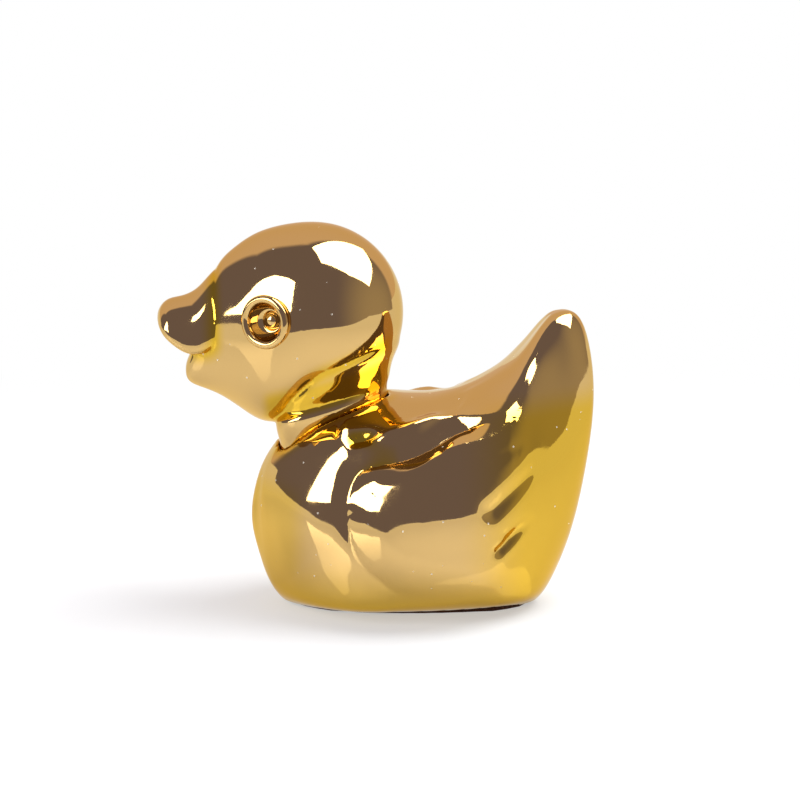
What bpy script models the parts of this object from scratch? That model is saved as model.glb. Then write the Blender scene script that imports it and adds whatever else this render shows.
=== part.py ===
"""A duckling figurine, cast in resin and plated gold, standing 62 mm tall.

It is a body casting with its wings and tail, a head casting whose neck is a tenon in the body, a steel
dowel through that joint, two turned eye cups with a bead in each, and a pad under the base.
The duck faces -X and stands on Z = 0. Sizes are in millimetres here, and MM turns them into metres.
"""

import math

import bmesh
import bpy
import numpy as np
from mathutils import Matrix, Vector

MM = 0.001
CLEARANCE = 0.3  # between castings and what is glued into them

# Body: the side view's outline as stations from the neck to the tail tip. A station has its inner point
# (the back), its outer point (chest, belly, rump) and the half width there.
BODY_NECK_POLE = (-7.5, 32.5)
BODY_TAIL_POLE = (32.2, 46.9)
BODY_STATIONS = [
    ((-2.2, 34.0), (-12.6, 29.6), 10.0),
    ((2.4, 34.2), (-15.9, 26.6), 14.8),
    ((5.0, 34.0), (-18.3, 23.0), 17.8),
    ((6.8, 33.95), (-19.8, 18.4), 19.7),
    ((8.4, 34.0), (-20.25, 13.2), 20.6),
    ((9.9, 34.2), (-19.0, 7.6), 20.8),
    ((11.4, 34.5), (-16.4, 1.8), 20.3),
    ((12.9, 34.9), (-10.5, -2.6), 19.7),
    ((14.4, 35.45), (-1.5, -4.2), 19.2),
    ((16.0, 36.2), (8.5, -4.4), 18.7),
    ((17.8, 37.2), (18.0, -3.6), 17.8),
    ((19.8, 38.5), (24.9, -0.8), 16.0),
    ((21.8, 40.1), (29.1, 5.4), 13.2),
    ((23.8, 42.2), (32.0, 13.4), 9.8),
    ((25.6, 44.5), (34.0, 23.2), 6.8),
    ((27.3, 46.5), (35.0, 33.0), 5.0),
    ((29.0, 47.5), (34.3, 41.4), 3.4),
]
# Exponent of the cross-section by the way along: 2 is an ellipse, more is squarer.
BODY_FULLNESS = [(0.0, 2.0), (0.35, 2.2), (0.55, 2.1), (0.85, 1.6), (1.0, 1.6)]
BODY_SAG = 0.25  # how far the widest points shift towards the outer outline
BODY_AROUND = 36
BODY_ALONG = 45
BASE_LOOPS = (0.9, 2.0, 4.0)  # heights of extra loops round the underside

# The body's plan, as shares of the stations' width by X, and its shares by Z at the breast and from
# the wings back, between which it changes over a length in X.
PLAN_SHARES = [
    (-20.0, 0.20),
    (-19.0, 0.23),
    (-18.0, 0.33),
    (-17.0, 0.39),
    (-16.0, 0.455),
    (-15.0, 0.52),
    (-13.5, 0.606),
    (-12.0, 0.68),
    (-10.5, 0.747),
    (-9.0, 0.804),
    (-7.5, 0.848),
    (-6.0, 0.886),
    (-4.5, 0.92),
    (-3.0, 0.951),
    (0.0, 1.0),
    (3.0, 1.03),
    (6.0, 1.05),
    (10.0, 1.06),
]
HEIGHT_SHARES = [
    (0.0, 0.50, 0.50),
    (0.5, 0.62, 0.58),
    (1.2, 0.84, 0.78),
    (2.0, 0.97, 0.88),
    (3.0, 1.04, 0.94),
    (4.0, 1.07, 0.965),
    (8.0, 1.075, 0.98),
    (11.0, 1.067, 0.99),
    (14.0, 1.055, 1.0),
    (16.0, 1.037, 1.018),
    (18.0, 1.016, 1.033),
    (20.0, 1.0, 1.046),
    (22.0, 0.985, 1.06),
    (24.0, 0.97, 1.07),
    (26.0, 0.96, 1.07),
    (28.0, 0.965, 1.07),
    (31.0, 1.0, 1.07),
]
BREAST_END = (-5.0, 10.0)

# Wings: an outline in the side view, raised from the body. A point has the width of the wing's swelling
# edge there, and how sharp the edge's foot is: 0 fades out, 0.5 is a valley and 1 a crease.
WING_OUTLINE = [
    (-3.6, 23.0, 5.5, 0.8),
    (-1.2, 25.5, 4.5, 1.0),
    (3.8, 26.1, 4.8, 1.0),
    (7.5, 26.6, 4.0, 1.0),
    (10.4, 27.6, 3.6, 0.9),
    (14.7, 29.8, 3.4, 0.6),
    (19.5, 31.9, 3.4, 0.3),
    (23.4, 32.0, 3.6, 0.0),
    (26.4, 29.3, 4.0, 0.0),
    (27.2, 25.2, 4.0, 0.0),
    (26.9, 20.6, 4.0, 0.0),
    (25.7, 15.8, 4.0, 0.0),
    (23.4, 11.2, 5.0, 0.0),
    (19.6, 6.6, 6.0, 0.0),
    (14.8, 3.6, 7.0, 0.0),
    (8.5, 3.0, 7.5, 0.0),
    (3.2, 4.6, 9.0, 0.1),
    (0.6, 7.4, 7.0, 0.2),
    (-2.2, 10.9, 6.5, 0.3),
    (-4.0, 15.0, 6.0, 0.5),
    (-4.4, 19.4, 5.5, 0.6),
]
WING_RISE = 3.5
WING_FRONT = (-6.5, 15.0)  # the swelling starts at this X and takes this long to rise
WING_LEAN = (10.0, 30.0, 0.45)  # between these heights the rise gets smaller by this share
WING_FADE = (14.0, 31.0)  # the rise dies away over this stretch of X, towards the tail
WING_GROOVE = (0.5, 1.1)  # depth of the groove at the edge's foot, and the reach of its flank
# Furrows between the feathers and on the shoulder: start, end, depth and half width.
FURROWS = [
    ((18.2, 26.6), (23.6, 29.6), 0.4, 0.9),
    ((17.6, 18.9), (25.0, 25.4), 1.1, 1.5),
    ((19.8, 14.6), (24.4, 17.6), 0.4, 0.9),
    ((18.6, 12.2), (23.6, 15.8), 0.8, 0.9),
    ((-3.4, 29.5), (2.2, 30.6), 0.9, 1.1),
]
CARVE_FROM = 2.0  # the carving starts this far from the middle
CARVE_FULL = 3.0  # and is at full depth this much further out
CARVE_FINE = 3.5  # the faces are refined from this far out
CARVE_MARGIN = 2.5  # and this far round the wing's outline
WING_CUTS = 1  # extra edges in each face where the wing needs them

# Head: stations from the back of the head to the tip of the lower bill, top point first.
HEAD_CENTRE = (-10.1, 47.3)
HEAD_RADIUS = 14.45
FACE_STATIONS = [
    ((-14.8, 61.3), (-13.4, 30.6), 13.6),
    ((-19.3, 59.9), (-17.6, 29.7), 12.0),
    ((-22.9, 57.5), (-21.4, 31.6), 9.5),
    ((-25.4, 54.7), (-24.6, 33.7), 7.2),
    ((-27.4, 49.6), (-27.3, 34.9), 5.0),
    ((-28.7, 44.6), (-29.4, 35.7), 3.7),
    ((-29.6, 41.4), (-30.5, 36.9), 2.4),
]
FACE_POLE = (-30.5, 39.2)
HEAD_FULLNESS = 2.05
HEAD_BALL_STEPS = 5  # stations on the ball, behind the face
HEAD_AROUND = 30
HEAD_ALONG = 34

# Upper bill, as a loft from inside the head to its tip.
BILL_ROOT_POLE = (-19.0, 47.0)
BILL_TIP_POLE = (-35.0, 47.0)
BILL_STATIONS = [
    ((-20.6, 52.6), (-20.4, 42.4), 7.0),
    ((-23.8, 55.0), (-23.6, 41.4), 7.6),
    ((-26.5, 53.5), (-26.6, 41.4), 7.4),
    ((-28.8, 51.1), (-29.4, 41.8), 7.2),
    ((-31.4, 49.9), (-31.9, 43.2), 6.9),
    ((-33.7, 49.2), (-33.9, 44.9), 5.7),
]
BILL_FULLNESS = 2.5
BILL_SAG = 0.42
BILL_AROUND = 24
BILL_ALONG = 18

# Neck: a column with its foot in the body's socket. Each level has its front, its rear and half width.
NECK_LEVELS = [
    ((-15.4, 21.6), (0.8, 21.6), 6.8),
    ((-15.5, 25.0), (1.2, 26.0), 7.8),
    ((-15.8, 28.2), (1.6, 31.0), 9.2),
    ((-16.0, 30.6), (1.75, 35.6), 9.3),
    ((-15.0, 33.5), (2.2, 38.2), 6.6),
    ((-12.6, 37.0), (3.2, 41.0), 7.2),
    ((-9.6, 41.5), (3.5, 45.5), 8.6),
]
NECK_TOP_POLE = (-2.0, 50.0)
NECK_FULLNESS = 2.5
NECK_AROUND = 28
NECK_ALONG = 22

# Dowel through the neck joint.
DOWEL_RADIUS = 1.5
DOWEL_LENGTH = 20.0
DOWEL_X = -7.0
DOWEL_IN_BODY = 9.0  # length below the socket's floor

# Eyes: a turned cup pressed into the head, and the bead at its bottom.
EYE_FORWARD_DEGREES = 29.5  # how far an eye turns from the side towards the bill
EYE_LIFT = 0.15  # height of an eye above the head's centre
EYE_RIM_RADIUS = 4.25
EYE_RIM_THICKNESS = 1.3
EYE_RIM_PROUD = 0.5  # how far the rim's top stands off the head
EYE_CUP_DEPTH = 4.9  # from the rim's top to the floor of the bead's seat
EYE_FLOOR_DEPTH = 3.1  # from the rim's top to the mouth of the seat
EYE_CUP_WALL = 0.8
EYE_BEAD_RADIUS = 1.5
EYE_AROUND = 32
EYE_BEAD_AROUND = 18
EYE_BEAD_ALONG = 10

# Base pad, recessed in the body's flat base and standing a little proud of it.
PAD_THICKNESS = 1.0
PAD_PROUD = 0.4
PAD_INSET = 1.2  # from the base's edge
PAD_POINTS = 48

GOLD = (0.86, 0.60, 0.22, 1.0)
STEEL = (0.62, 0.62, 0.64, 1.0)
FELT = (0.10, 0.045, 0.03, 1.0)


def clear_scene():
    for obj in list(bpy.data.objects):
        bpy.data.objects.remove(obj, do_unlink=True)


def material(name, colour, roughness, metallic):
    made = bpy.data.materials.new(name)
    made.use_nodes = True
    shader = made.node_tree.nodes["Principled BSDF"]
    shader.inputs["Base Color"].default_value = colour
    shader.inputs["Roughness"].default_value = roughness
    shader.inputs["Metallic"].default_value = metallic
    made.diffuse_color = colour
    return made


def finish_object(bm, name, finish, smooth_degrees=40.0):
    """Turns a bmesh in millimetres into a named object in metres."""
    bmesh.ops.scale(bm, vec=(MM, MM, MM), verts=bm.verts)
    bmesh.ops.recalc_face_normals(bm, faces=bm.faces)
    mesh = bpy.data.meshes.new(name)
    bm.to_mesh(mesh)
    bm.free()
    mesh.shade_smooth()
    mesh.set_sharp_from_angle(angle=math.radians(smooth_degrees))
    obj = bpy.data.objects.new(name, mesh)
    bpy.context.scene.collection.objects.link(obj)
    obj.data.materials.append(finish)
    return obj


def boolean(target, other, operation):
    """Joins other to target, or cuts it away, and keeps it as a hidden helper."""
    step = target.modifiers.new(f"{operation.lower()} {other.name}", "BOOLEAN")
    step.operation = operation
    step.solver = "EXACT"
    step.object = other
    other.hide_render = True
    other.display_type = "WIRE"


class ClosedSpline:
    """A smooth closed curve through evenly counted points, with continuous curvature."""

    def __init__(self, points):
        self.points = np.array(points, float)
        count = len(self.points)
        system = 4 * np.eye(count) + np.roll(np.eye(count), 1, 0) + np.roll(np.eye(count), -1, 0)
        second = np.roll(self.points, -1, 0) - 2 * self.points + np.roll(self.points, 1, 0)
        self.bend = np.linalg.solve(system, 6 * second)

    def at(self, s):
        count = len(self.points)
        low = int(math.floor(s)) % count
        high = (low + 1) % count
        u = s - math.floor(s)
        return (
            (self.points[low] - self.bend[low] / 6) * (1 - u)
            + (self.points[high] - self.bend[high] / 6) * u
            + self.bend[low] / 6 * (1 - u) ** 3
            + self.bend[high] / 6 * u**3
        )


class Loft:
    """A closed form given by its outline in the side view and its half width, mirrored about Y = 0."""

    def __init__(self, first_pole, stations, last_pole, fullness, grow=0.0, sag=0.0):
        inner = [station[0] for station in stations]
        outer = [station[1] for station in stations]
        widths = [station[2] + grow for station in stations]
        self.steps = len(stations) + 1
        self.outline = ClosedSpline([first_pole, *inner, last_pole, *reversed(outer)])
        self.width = ClosedSpline([0.0, *widths, 0.0, *[-w for w in reversed(widths)]])
        self.fullness = fullness
        self.sag = sag

    def point(self, along, around):
        """along runs from 0 at the first pole to 1 at the last, around from 0 at the inner side."""
        s = along * self.steps
        inner = self.outline.at(s)
        outer = self.outline.at(2 * self.steps - s)
        middle = (inner + outer) / 2
        half = (inner - outer) / 2
        c, k = math.cos(around), math.sin(around)
        full = self.fullness
        if isinstance(full, list):
            full = np.interp(along, *zip(*full))
        squarer = (abs(c) ** full + abs(k) ** full) ** (-1 / full)
        x, z = middle + half * (c * squarer - self.sag * k * k)
        return Vector((x, float(self.width.at(s)) * k * squarer, z))

    def mesh(self, around, along):
        """A sphere pulled into the form, with its poles on the form's poles."""
        bm = bmesh.new()
        bmesh.ops.create_uvsphere(bm, u_segments=around, v_segments=along, radius=1.0)
        for vert in bm.verts:
            polar = math.acos(max(-1.0, min(1.0, vert.co.z))) / math.pi
            vert.co = self.point(polar, math.atan2(vert.co.y, vert.co.x))
        return bm


def turned(profile, segments):
    """A solid of revolution about Z from (radius, height) points that start and end on the axis."""
    bm = bmesh.new()
    verts = [bm.verts.new((radius, 0, height)) for radius, height in profile]
    edges = [bm.edges.new(pair) for pair in zip(verts, verts[1:])]
    bmesh.ops.spin(
        bm,
        geom=verts + edges,
        axis=(0, 0, 1),
        cent=(0, 0, 0),
        angle=2 * math.pi,
        steps=segments,
        use_merge=True,
    )
    bmesh.ops.remove_doubles(bm, verts=bm.verts, dist=0.001)
    bmesh.ops.recalc_face_normals(bm, faces=bm.faces)
    return bm


def cylinder(radius, low, high, segments=24):
    return turned([(0, low), (radius, low), (radius, high), (0, high)], segments)


def smoothstep(t):
    t = np.clip(t, 0.0, 1.0)
    return t * t * (3 - 2 * t)


def eased(values, places, shares):
    """Reads a table with its corners eased."""
    steps = np.arange(places[0] - 2.0, places[-1] + 2.0, 0.25)
    read = np.pad(np.interp(steps, places, shares), 3, "edge")
    return np.interp(values, steps, np.convolve(read, np.ones(7) / 7, "valid"))


def draw_in(bm):
    """Draws the body's plain form in to its plan and to its shares by height."""
    for height in BASE_LOOPS:
        bmesh.ops.bisect_plane(
            bm,
            geom=bm.verts[:] + bm.edges[:] + bm.faces[:],
            plane_co=(0, 0, height),
            plane_no=(0, 0, 1),
        )
    co = np.array([vert.co for vert in bm.verts])
    levels, front, rear = zip(*HEIGHT_SHARES)
    back = smoothstep((co[:, 0] - BREAST_END[0]) / BREAST_END[1])
    share = (1 - back) * eased(co[:, 2], levels, front) + back * eased(co[:, 2], levels, rear)
    share *= eased(co[:, 0], *zip(*PLAN_SHARES))
    for vert, amount in zip(bm.verts, share):
        vert.co.y *= amount


def to_segment(points, start, end):
    """Distances from points to a segment, and the share of the segment where each is nearest."""
    start, end = np.array(start), np.array(end)
    run = end - start
    share = np.clip(((points - start) @ run) / (run @ run), 0, 1)
    return np.linalg.norm(points - start - share[:, None] * run, axis=1), share


WING_CURVE_STEPS = 8
wing_spline = ClosedSpline(WING_OUTLINE)
WING_CURVE = np.array(
    [wing_spline.at(step / WING_CURVE_STEPS) for step in range(len(WING_OUTLINE) * WING_CURVE_STEPS)]
)


def wing_relief(points):
    """Height of the wing's carving over the plain body, at points of the side view."""
    best = np.full(len(points), 1e9)
    swell = np.ones(len(points))
    crease = np.zeros(len(points))
    inside = np.zeros(len(points), bool)
    for a, b in zip(WING_CURVE, np.roll(WING_CURVE, -1, axis=0)):
        away, share = to_segment(points, a[:2], b[:2])
        nearer = away < best
        best[nearer] = away[nearer]
        swell[nearer] = a[2] + (b[2] - a[2]) * share[nearer]
        crease[nearer] = a[3] + (b[3] - a[3]) * share[nearer]
        if a[1] != b[1]:
            crossing = (a[1] > points[:, 1]) != (b[1] > points[:, 1])
            reach = a[0] + (b[0] - a[0]) * (points[:, 1] - a[1]) / (b[1] - a[1])
            inside ^= crossing & (points[:, 0] < reach)
    depth = np.where(inside, best, -best)
    crease = np.clip(crease, 0, 1)
    fade = smoothstep((WING_FADE[1] - points[:, 0]) / (WING_FADE[1] - WING_FADE[0]))
    low, high, share = WING_LEAN
    rise = WING_RISE * fade * (1 - share * smoothstep((points[:, 1] - low) / (high - low)))
    ahead = 1 - np.clip((points[:, 0] - WING_FRONT[0]) / WING_FRONT[1], 0, 1)
    rise *= 1 - ahead**2
    within = np.clip(depth / swell, 0, 1)
    sharp = np.sqrt(1 - (1 - within) ** 2)
    soft = smoothstep(0.7 * depth / swell + 0.35)
    round_edge = 1 - (1 - within) ** 2
    hard = np.maximum(2 * crease - 1, 0)
    blurred = np.maximum(1 - 2 * crease, 0)
    height = rise * (hard * sharp + blurred * soft + (1 - hard - blurred) * round_edge)
    flank = np.exp(-np.maximum(-depth, 0) / WING_GROOVE[1]) * (1 - sharp)
    height -= WING_GROOVE[0] * (1 - blurred) * fade * flank
    for start, end, deep, half in FURROWS:
        away, share = to_segment(points, start, end)
        taper = 1 - smoothstep(1.25 * share - 0.25)
        height -= deep * taper * np.exp(-((away / half) ** 2))
    return height


def carve_wings(bm):
    """Refines the faces where the wings are and moves them out to the wings' relief."""
    low_x, low_z = WING_CURVE[:, :2].min(axis=0) - CARVE_MARGIN
    high_x, high_z = WING_CURVE[:, :2].max(axis=0) + CARVE_MARGIN

    def carved(face):
        c = face.calc_center_median()
        return low_x < c.x < high_x and low_z < c.z < high_z and abs(c.y) > CARVE_FINE

    edges = list({edge for face in bm.faces if carved(face) for edge in face.edges})
    bmesh.ops.subdivide_edges(bm, edges=edges, cuts=WING_CUTS, use_grid_fill=True, smooth=0.0)
    bm.normal_update()
    across = [vert for vert in bm.verts if abs(vert.co.y) > CARVE_FROM]
    heights = wing_relief(np.array([(vert.co.x, vert.co.z) for vert in across]))
    moves = []
    for vert, height in zip(across, heights):
        side = smoothstep((abs(vert.co.y) - CARVE_FROM) / CARVE_FULL)
        moves.append(vert.normal * float(height * side))
    for vert, move in zip(across, moves):
        vert.co += move
    bmesh.ops.triangulate(bm, faces=[face for face in bm.faces if len(face.verts) > 4])


def base_radii(body):
    """Centre of the body's flat base, and its edge's radius at even turns about that centre."""
    bm = body.copy()
    bmesh.ops.bisect_plane(
        bm,
        geom=bm.verts[:] + bm.edges[:] + bm.faces[:],
        plane_co=(0, 0, PAD_PROUD),
        plane_no=(0, 0, 1),
        clear_outer=True,
        clear_inner=True,
    )
    ring = np.array([vert.co[:2] for vert in bm.verts])
    bm.free()
    centre = (ring.min(axis=0) + ring.max(axis=0)) / 2
    away = ring - centre
    turns = np.arctan2(away[:, 1], away[:, 0])
    edge = sorted(zip(turns, np.linalg.norm(away, axis=1)))
    even = np.linspace(-math.pi, math.pi, PAD_POINTS, endpoint=False)
    return centre, even, np.interp(even, *zip(*edge), period=2 * math.pi)


def base_outline(body, inset):
    """Points on the outline of the body's flat base, drawn in by inset."""
    centre, turns, radii = base_radii(body)
    return [
        (centre[0] + (radius - inset) * math.cos(turn), centre[1] + (radius - inset) * math.sin(turn))
        for turn, radius in zip(turns, radii)
    ]


def slab(points, low, high):
    """A prism on a closed outline."""
    bm = bmesh.new()
    face = bm.faces.new([bm.verts.new((x, y, low)) for x, y in points])
    grown = bmesh.ops.extrude_face_region(bm, geom=[face])
    top = [item for item in grown["geom"] if isinstance(item, bmesh.types.BMVert)]
    bmesh.ops.translate(bm, vec=(0, 0, high - low), verts=top)
    return bm


def neck_loft(grow):
    """The neck column, swollen by grow for the socket's cutter."""
    levels = [
        ((front[0] - grow, front[1]), (rear[0] + grow, rear[1]), width)
        for front, rear, width in NECK_LEVELS
    ]
    floor_x = (NECK_LEVELS[0][0][0] + NECK_LEVELS[0][1][0]) / 2
    floor = (floor_x, NECK_LEVELS[0][0][1] - 1.5)
    return Loft(floor, levels, NECK_TOP_POLE, NECK_FULLNESS, grow)


def socket_floor():
    """Height of the flat foot of the neck's tenon."""
    return NECK_LEVELS[0][0][1]


def flat_footed(bm, height):
    """Cuts a form off flat at a height and closes it."""
    cut = bmesh.ops.bisect_plane(
        bm,
        geom=bm.verts[:] + bm.edges[:] + bm.faces[:],
        plane_co=(0, 0, height),
        plane_no=(0, 0, 1),
        clear_inner=True,
    )
    rim = [item for item in cut["geom_cut"] if isinstance(item, bmesh.types.BMEdge)]
    return bmesh.ops.edgenet_fill(bm, edges=rim)["faces"], rim


def make_body(finish):
    loft = Loft(BODY_NECK_POLE, BODY_STATIONS, BODY_TAIL_POLE, BODY_FULLNESS, sag=BODY_SAG)
    bm = loft.mesh(BODY_AROUND, BODY_ALONG)
    draw_in(bm)
    pad_outline = base_outline(bm, PAD_INSET)
    recess = slab(base_outline(bm, PAD_INSET - CLEARANCE), -1.0, PAD_THICKNESS + CLEARANCE)
    carve_wings(bm)
    flat_footed(bm, PAD_PROUD)
    body = finish_object(bm, "body", finish)

    socket_bm = neck_loft(CLEARANCE).mesh(NECK_AROUND, NECK_ALONG)
    flat_footed(socket_bm, socket_floor() - CLEARANCE)
    boolean(body, finish_object(socket_bm, "neck_socket_cutter", finish), "DIFFERENCE")

    hole = cylinder(DOWEL_RADIUS + CLEARANCE, dowel_bottom() - CLEARANCE, socket_floor() + 1.0)
    bmesh.ops.translate(hole, vec=(DOWEL_X, 0, 0), verts=hole.verts)
    boolean(body, finish_object(hole, "body_dowel_cutter", finish), "DIFFERENCE")

    boolean(body, finish_object(recess, "pad_recess_cutter", finish), "DIFFERENCE")
    return pad_outline


def make_pad(outline, finish):
    finish_object(slab(outline, 0.0, PAD_THICKNESS), "base_pad", finish)


def dowel_bottom():
    return socket_floor() - CLEARANCE - DOWEL_IN_BODY


def make_dowel(finish):
    bottom = dowel_bottom()
    bm = cylinder(DOWEL_RADIUS, bottom, bottom + DOWEL_LENGTH)
    bmesh.ops.translate(bm, vec=(DOWEL_X, 0, 0), verts=bm.verts)
    finish_object(bm, "neck_dowel", finish)


def head_stations():
    """Stations of the ball behind the face, then those of the face."""
    x, z = HEAD_CENTRE
    stations = []
    for step in range(1, HEAD_BALL_STEPS + 1):
        turn = math.radians(90.0 * step / HEAD_BALL_STEPS)
        rise = HEAD_RADIUS * math.sin(turn)
        at = x + HEAD_RADIUS * math.cos(turn)
        stations.append(((at, z + rise), (at, z - rise), rise))
    return stations + FACE_STATIONS


def eye_frames():
    """For each eye, its name and the matrix that stands a turned piece on the head, Z outwards."""
    frames = []
    for name, side in (("left", -1), ("right", 1)):
        turn = math.radians(EYE_FORWARD_DEGREES)
        outward = Vector((-math.sin(turn), side * math.cos(turn), 0))
        centre = Vector((HEAD_CENTRE[0], 0, HEAD_CENTRE[1] + EYE_LIFT))
        place = centre + outward * (HEAD_RADIUS + EYE_RIM_PROUD)
        frames.append((name, Matrix.Translation(place) @ outward.to_track_quat("Z", "Y").to_matrix().to_4x4()))
    return frames


def cup_inner_radius():
    return EYE_RIM_RADIUS - EYE_RIM_THICKNESS


def cup_profile():
    """Half section of an eye cup: a rolled rim, a straight shank, the funnel inside and the bead's seat."""
    half = EYE_RIM_THICKNESS / 2
    middle = EYE_RIM_RADIUS - half
    shank = cup_inner_radius() + EYE_CUP_WALL
    seat = EYE_BEAD_RADIUS + CLEARANCE
    bottom = -EYE_CUP_DEPTH
    profile = [(0, bottom - EYE_CUP_WALL), (shank, bottom - EYE_CUP_WALL), (shank, -2 * half)]
    for step in range(0, 7):
        turn = math.radians(-60 + 40 * step)
        profile.append((middle + half * math.cos(turn), -half + half * math.sin(turn)))
    mouth = cup_inner_radius()
    for step in range(1, 6):
        share = step / 5
        drop = (EYE_FLOOR_DEPTH - half) * math.sin(math.pi / 2 * share) ** 0.8
        profile.append((mouth + (seat - mouth) * share, -half - drop))
    profile += [(seat, bottom), (0, bottom)]
    return profile


def bore_profile():
    """Half section of what a cup needs cut from the head: a seat for its rim and a bore for its shank."""
    bore = cup_inner_radius() + EYE_CUP_WALL + CLEARANCE
    seat = EYE_RIM_RADIUS + CLEARANCE
    floor = -EYE_CUP_DEPTH - EYE_CUP_WALL - CLEARANCE
    step = -EYE_RIM_THICKNESS - CLEARANCE
    return [(0, floor), (bore, floor), (bore, step), (seat, step), (seat, 4.0), (0, 4.0)]


def place_on_head(bm, frame):
    bmesh.ops.transform(bm, matrix=frame, verts=bm.verts)


def make_eyes(gold, head):
    bores = bmesh.new()
    for name, frame in eye_frames():
        bore = turned(bore_profile(), EYE_AROUND)
        place_on_head(bore, frame)
        passing = bpy.data.meshes.new("bore")
        bore.to_mesh(passing)
        bores.from_mesh(passing)
        bpy.data.meshes.remove(passing)

        cup = turned(cup_profile(), EYE_AROUND)
        place_on_head(cup, frame)
        finish_object(cup, f"{name}_eye_cup", gold)

        bead = bmesh.new()
        bmesh.ops.create_uvsphere(
            bead, u_segments=EYE_BEAD_AROUND, v_segments=EYE_BEAD_ALONG, radius=EYE_BEAD_RADIUS
        )
        height = -EYE_CUP_DEPTH + CLEARANCE + EYE_BEAD_RADIUS
        bmesh.ops.translate(bead, vec=(0, 0, height), verts=bead.verts)
        place_on_head(bead, frame)
        finish_object(bead, f"{name}_eye_bead", gold)
    boolean(head, finish_object(bores, "eye_bores_cutter", gold), "DIFFERENCE")


def make_head(finish):
    x, z = HEAD_CENTRE
    back = (x + HEAD_RADIUS, z)
    bm = Loft(back, head_stations(), FACE_POLE, HEAD_FULLNESS).mesh(HEAD_AROUND, HEAD_ALONG)
    head = finish_object(bm, "head", finish)

    bill = Loft(BILL_ROOT_POLE, BILL_STATIONS, BILL_TIP_POLE, BILL_FULLNESS, sag=BILL_SAG)
    boolean(head, finish_object(bill.mesh(BILL_AROUND, BILL_ALONG), "bill_form", finish), "UNION")

    neck = neck_loft(0.0).mesh(NECK_AROUND, NECK_ALONG)
    flat_footed(neck, socket_floor())
    boolean(head, finish_object(neck, "neck_form", finish), "UNION")

    top = dowel_bottom() + DOWEL_LENGTH + CLEARANCE
    hole = cylinder(DOWEL_RADIUS + CLEARANCE, socket_floor() - 1.0, top)
    bmesh.ops.translate(hole, vec=(DOWEL_X, 0, 0), verts=hole.verts)
    boolean(head, finish_object(hole, "head_dowel_cutter", finish), "DIFFERENCE")
    return head


def main():
    clear_scene()
    gold = material("gold_plating", GOLD, 0.06, 1.0)
    steel = material("bright_steel", STEEL, 0.3, 1.0)
    felt = material("brown_felt", FELT, 0.9, 0.0)
    pad_outline = make_body(gold)
    make_pad(pad_outline, felt)
    make_dowel(steel)
    head = make_head(gold)
    make_eyes(gold, head)


main()
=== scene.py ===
"""A gold-plated duckling figurine on a pale table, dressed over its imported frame."""

import functools
import math

import bmesh
import bpy
import numpy as np
from mathutils import Matrix, Vector
from mathutils.kdtree import KDTree


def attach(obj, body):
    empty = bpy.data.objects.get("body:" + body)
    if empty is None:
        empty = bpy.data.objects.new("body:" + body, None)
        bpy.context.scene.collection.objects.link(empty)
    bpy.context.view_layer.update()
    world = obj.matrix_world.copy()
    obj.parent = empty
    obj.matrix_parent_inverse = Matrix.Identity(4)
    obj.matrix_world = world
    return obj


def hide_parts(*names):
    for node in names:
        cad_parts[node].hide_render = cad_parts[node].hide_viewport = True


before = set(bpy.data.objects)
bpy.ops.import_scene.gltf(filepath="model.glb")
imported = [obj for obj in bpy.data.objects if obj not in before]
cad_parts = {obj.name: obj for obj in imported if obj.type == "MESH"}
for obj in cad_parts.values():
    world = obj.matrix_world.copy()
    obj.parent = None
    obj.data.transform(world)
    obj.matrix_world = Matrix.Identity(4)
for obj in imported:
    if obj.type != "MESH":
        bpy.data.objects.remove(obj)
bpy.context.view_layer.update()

MM = 0.001

# The forms below are in millimetres, in the frame's axes: the duck faces -X and stands on Z = 0.
# A station is a point of the inner outline, one of the outer outline, and the half width there.
# A fullness is the power of a ring's round, 2 for an ellipse. A sag moves a ring's widest place to
# the outer side, by a share of half its depth.
BODY_NECK_POLE = (-7.5, 32.5)
BODY_TAIL_POLE = (32.2, 46.9)
BODY_STATIONS = [
    ((-2.2, 34.0), (-12.6, 29.6), 10.0),
    ((2.4, 34.2), (-15.9, 26.6), 14.8),
    ((5.0, 34.0), (-18.3, 23.0), 17.8),
    ((6.8, 33.95), (-19.8, 18.4), 19.7),
    ((8.4, 34.0), (-20.25, 13.2), 20.6),
    ((9.9, 34.2), (-19.0, 7.6), 20.8),
    ((11.4, 34.5), (-16.4, 1.8), 20.3),
    ((12.9, 34.9), (-10.5, -2.6), 19.7),
    ((14.4, 35.45), (-1.5, -4.2), 19.2),
    ((16.0, 36.2), (8.5, -4.4), 18.7),
    ((17.8, 37.2), (18.0, -3.6), 17.8),
    ((19.8, 38.5), (24.9, -0.8), 16.0),
    ((21.8, 40.1), (29.1, 5.4), 13.2),
    ((23.8, 42.2), (32.0, 13.4), 9.8),
    ((25.6, 44.5), (34.0, 23.2), 6.8),
    ((27.3, 46.5), (35.0, 33.0), 5.0),
    ((29.0, 47.5), (34.3, 41.4), 3.4),
]
BODY_FULLNESS = [(0.0, 2.0), (0.35, 2.2), (0.55, 2.3), (0.85, 2.4), (1.0, 1.9)]  # by the way along
BODY_SAG = [(0.0, 0.25), (0.5, 0.25), (0.75, -0.3), (1.0, -0.5)]
BODY_MESH = (128, 180)
BODY_VOXEL = 0.34
BODY_SMOOTHING = 14

# The body's plan, as shares of the stations' width by X.
PLAN_SHARES = [
    (-20.0, 0.20),
    (-19.0, 0.23),
    (-18.0, 0.33),
    (-17.0, 0.39),
    (-16.0, 0.455),
    (-15.0, 0.52),
    (-13.5, 0.606),
    (-12.0, 0.68),
    (-10.5, 0.747),
    (-9.0, 0.804),
    (-7.5, 0.848),
    (-6.0, 0.886),
    (-4.5, 0.92),
    (-3.0, 0.951),
    (0.0, 1.0),
    (3.0, 1.03),
    (6.0, 1.05),
    (10.0, 1.06),
]
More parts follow.
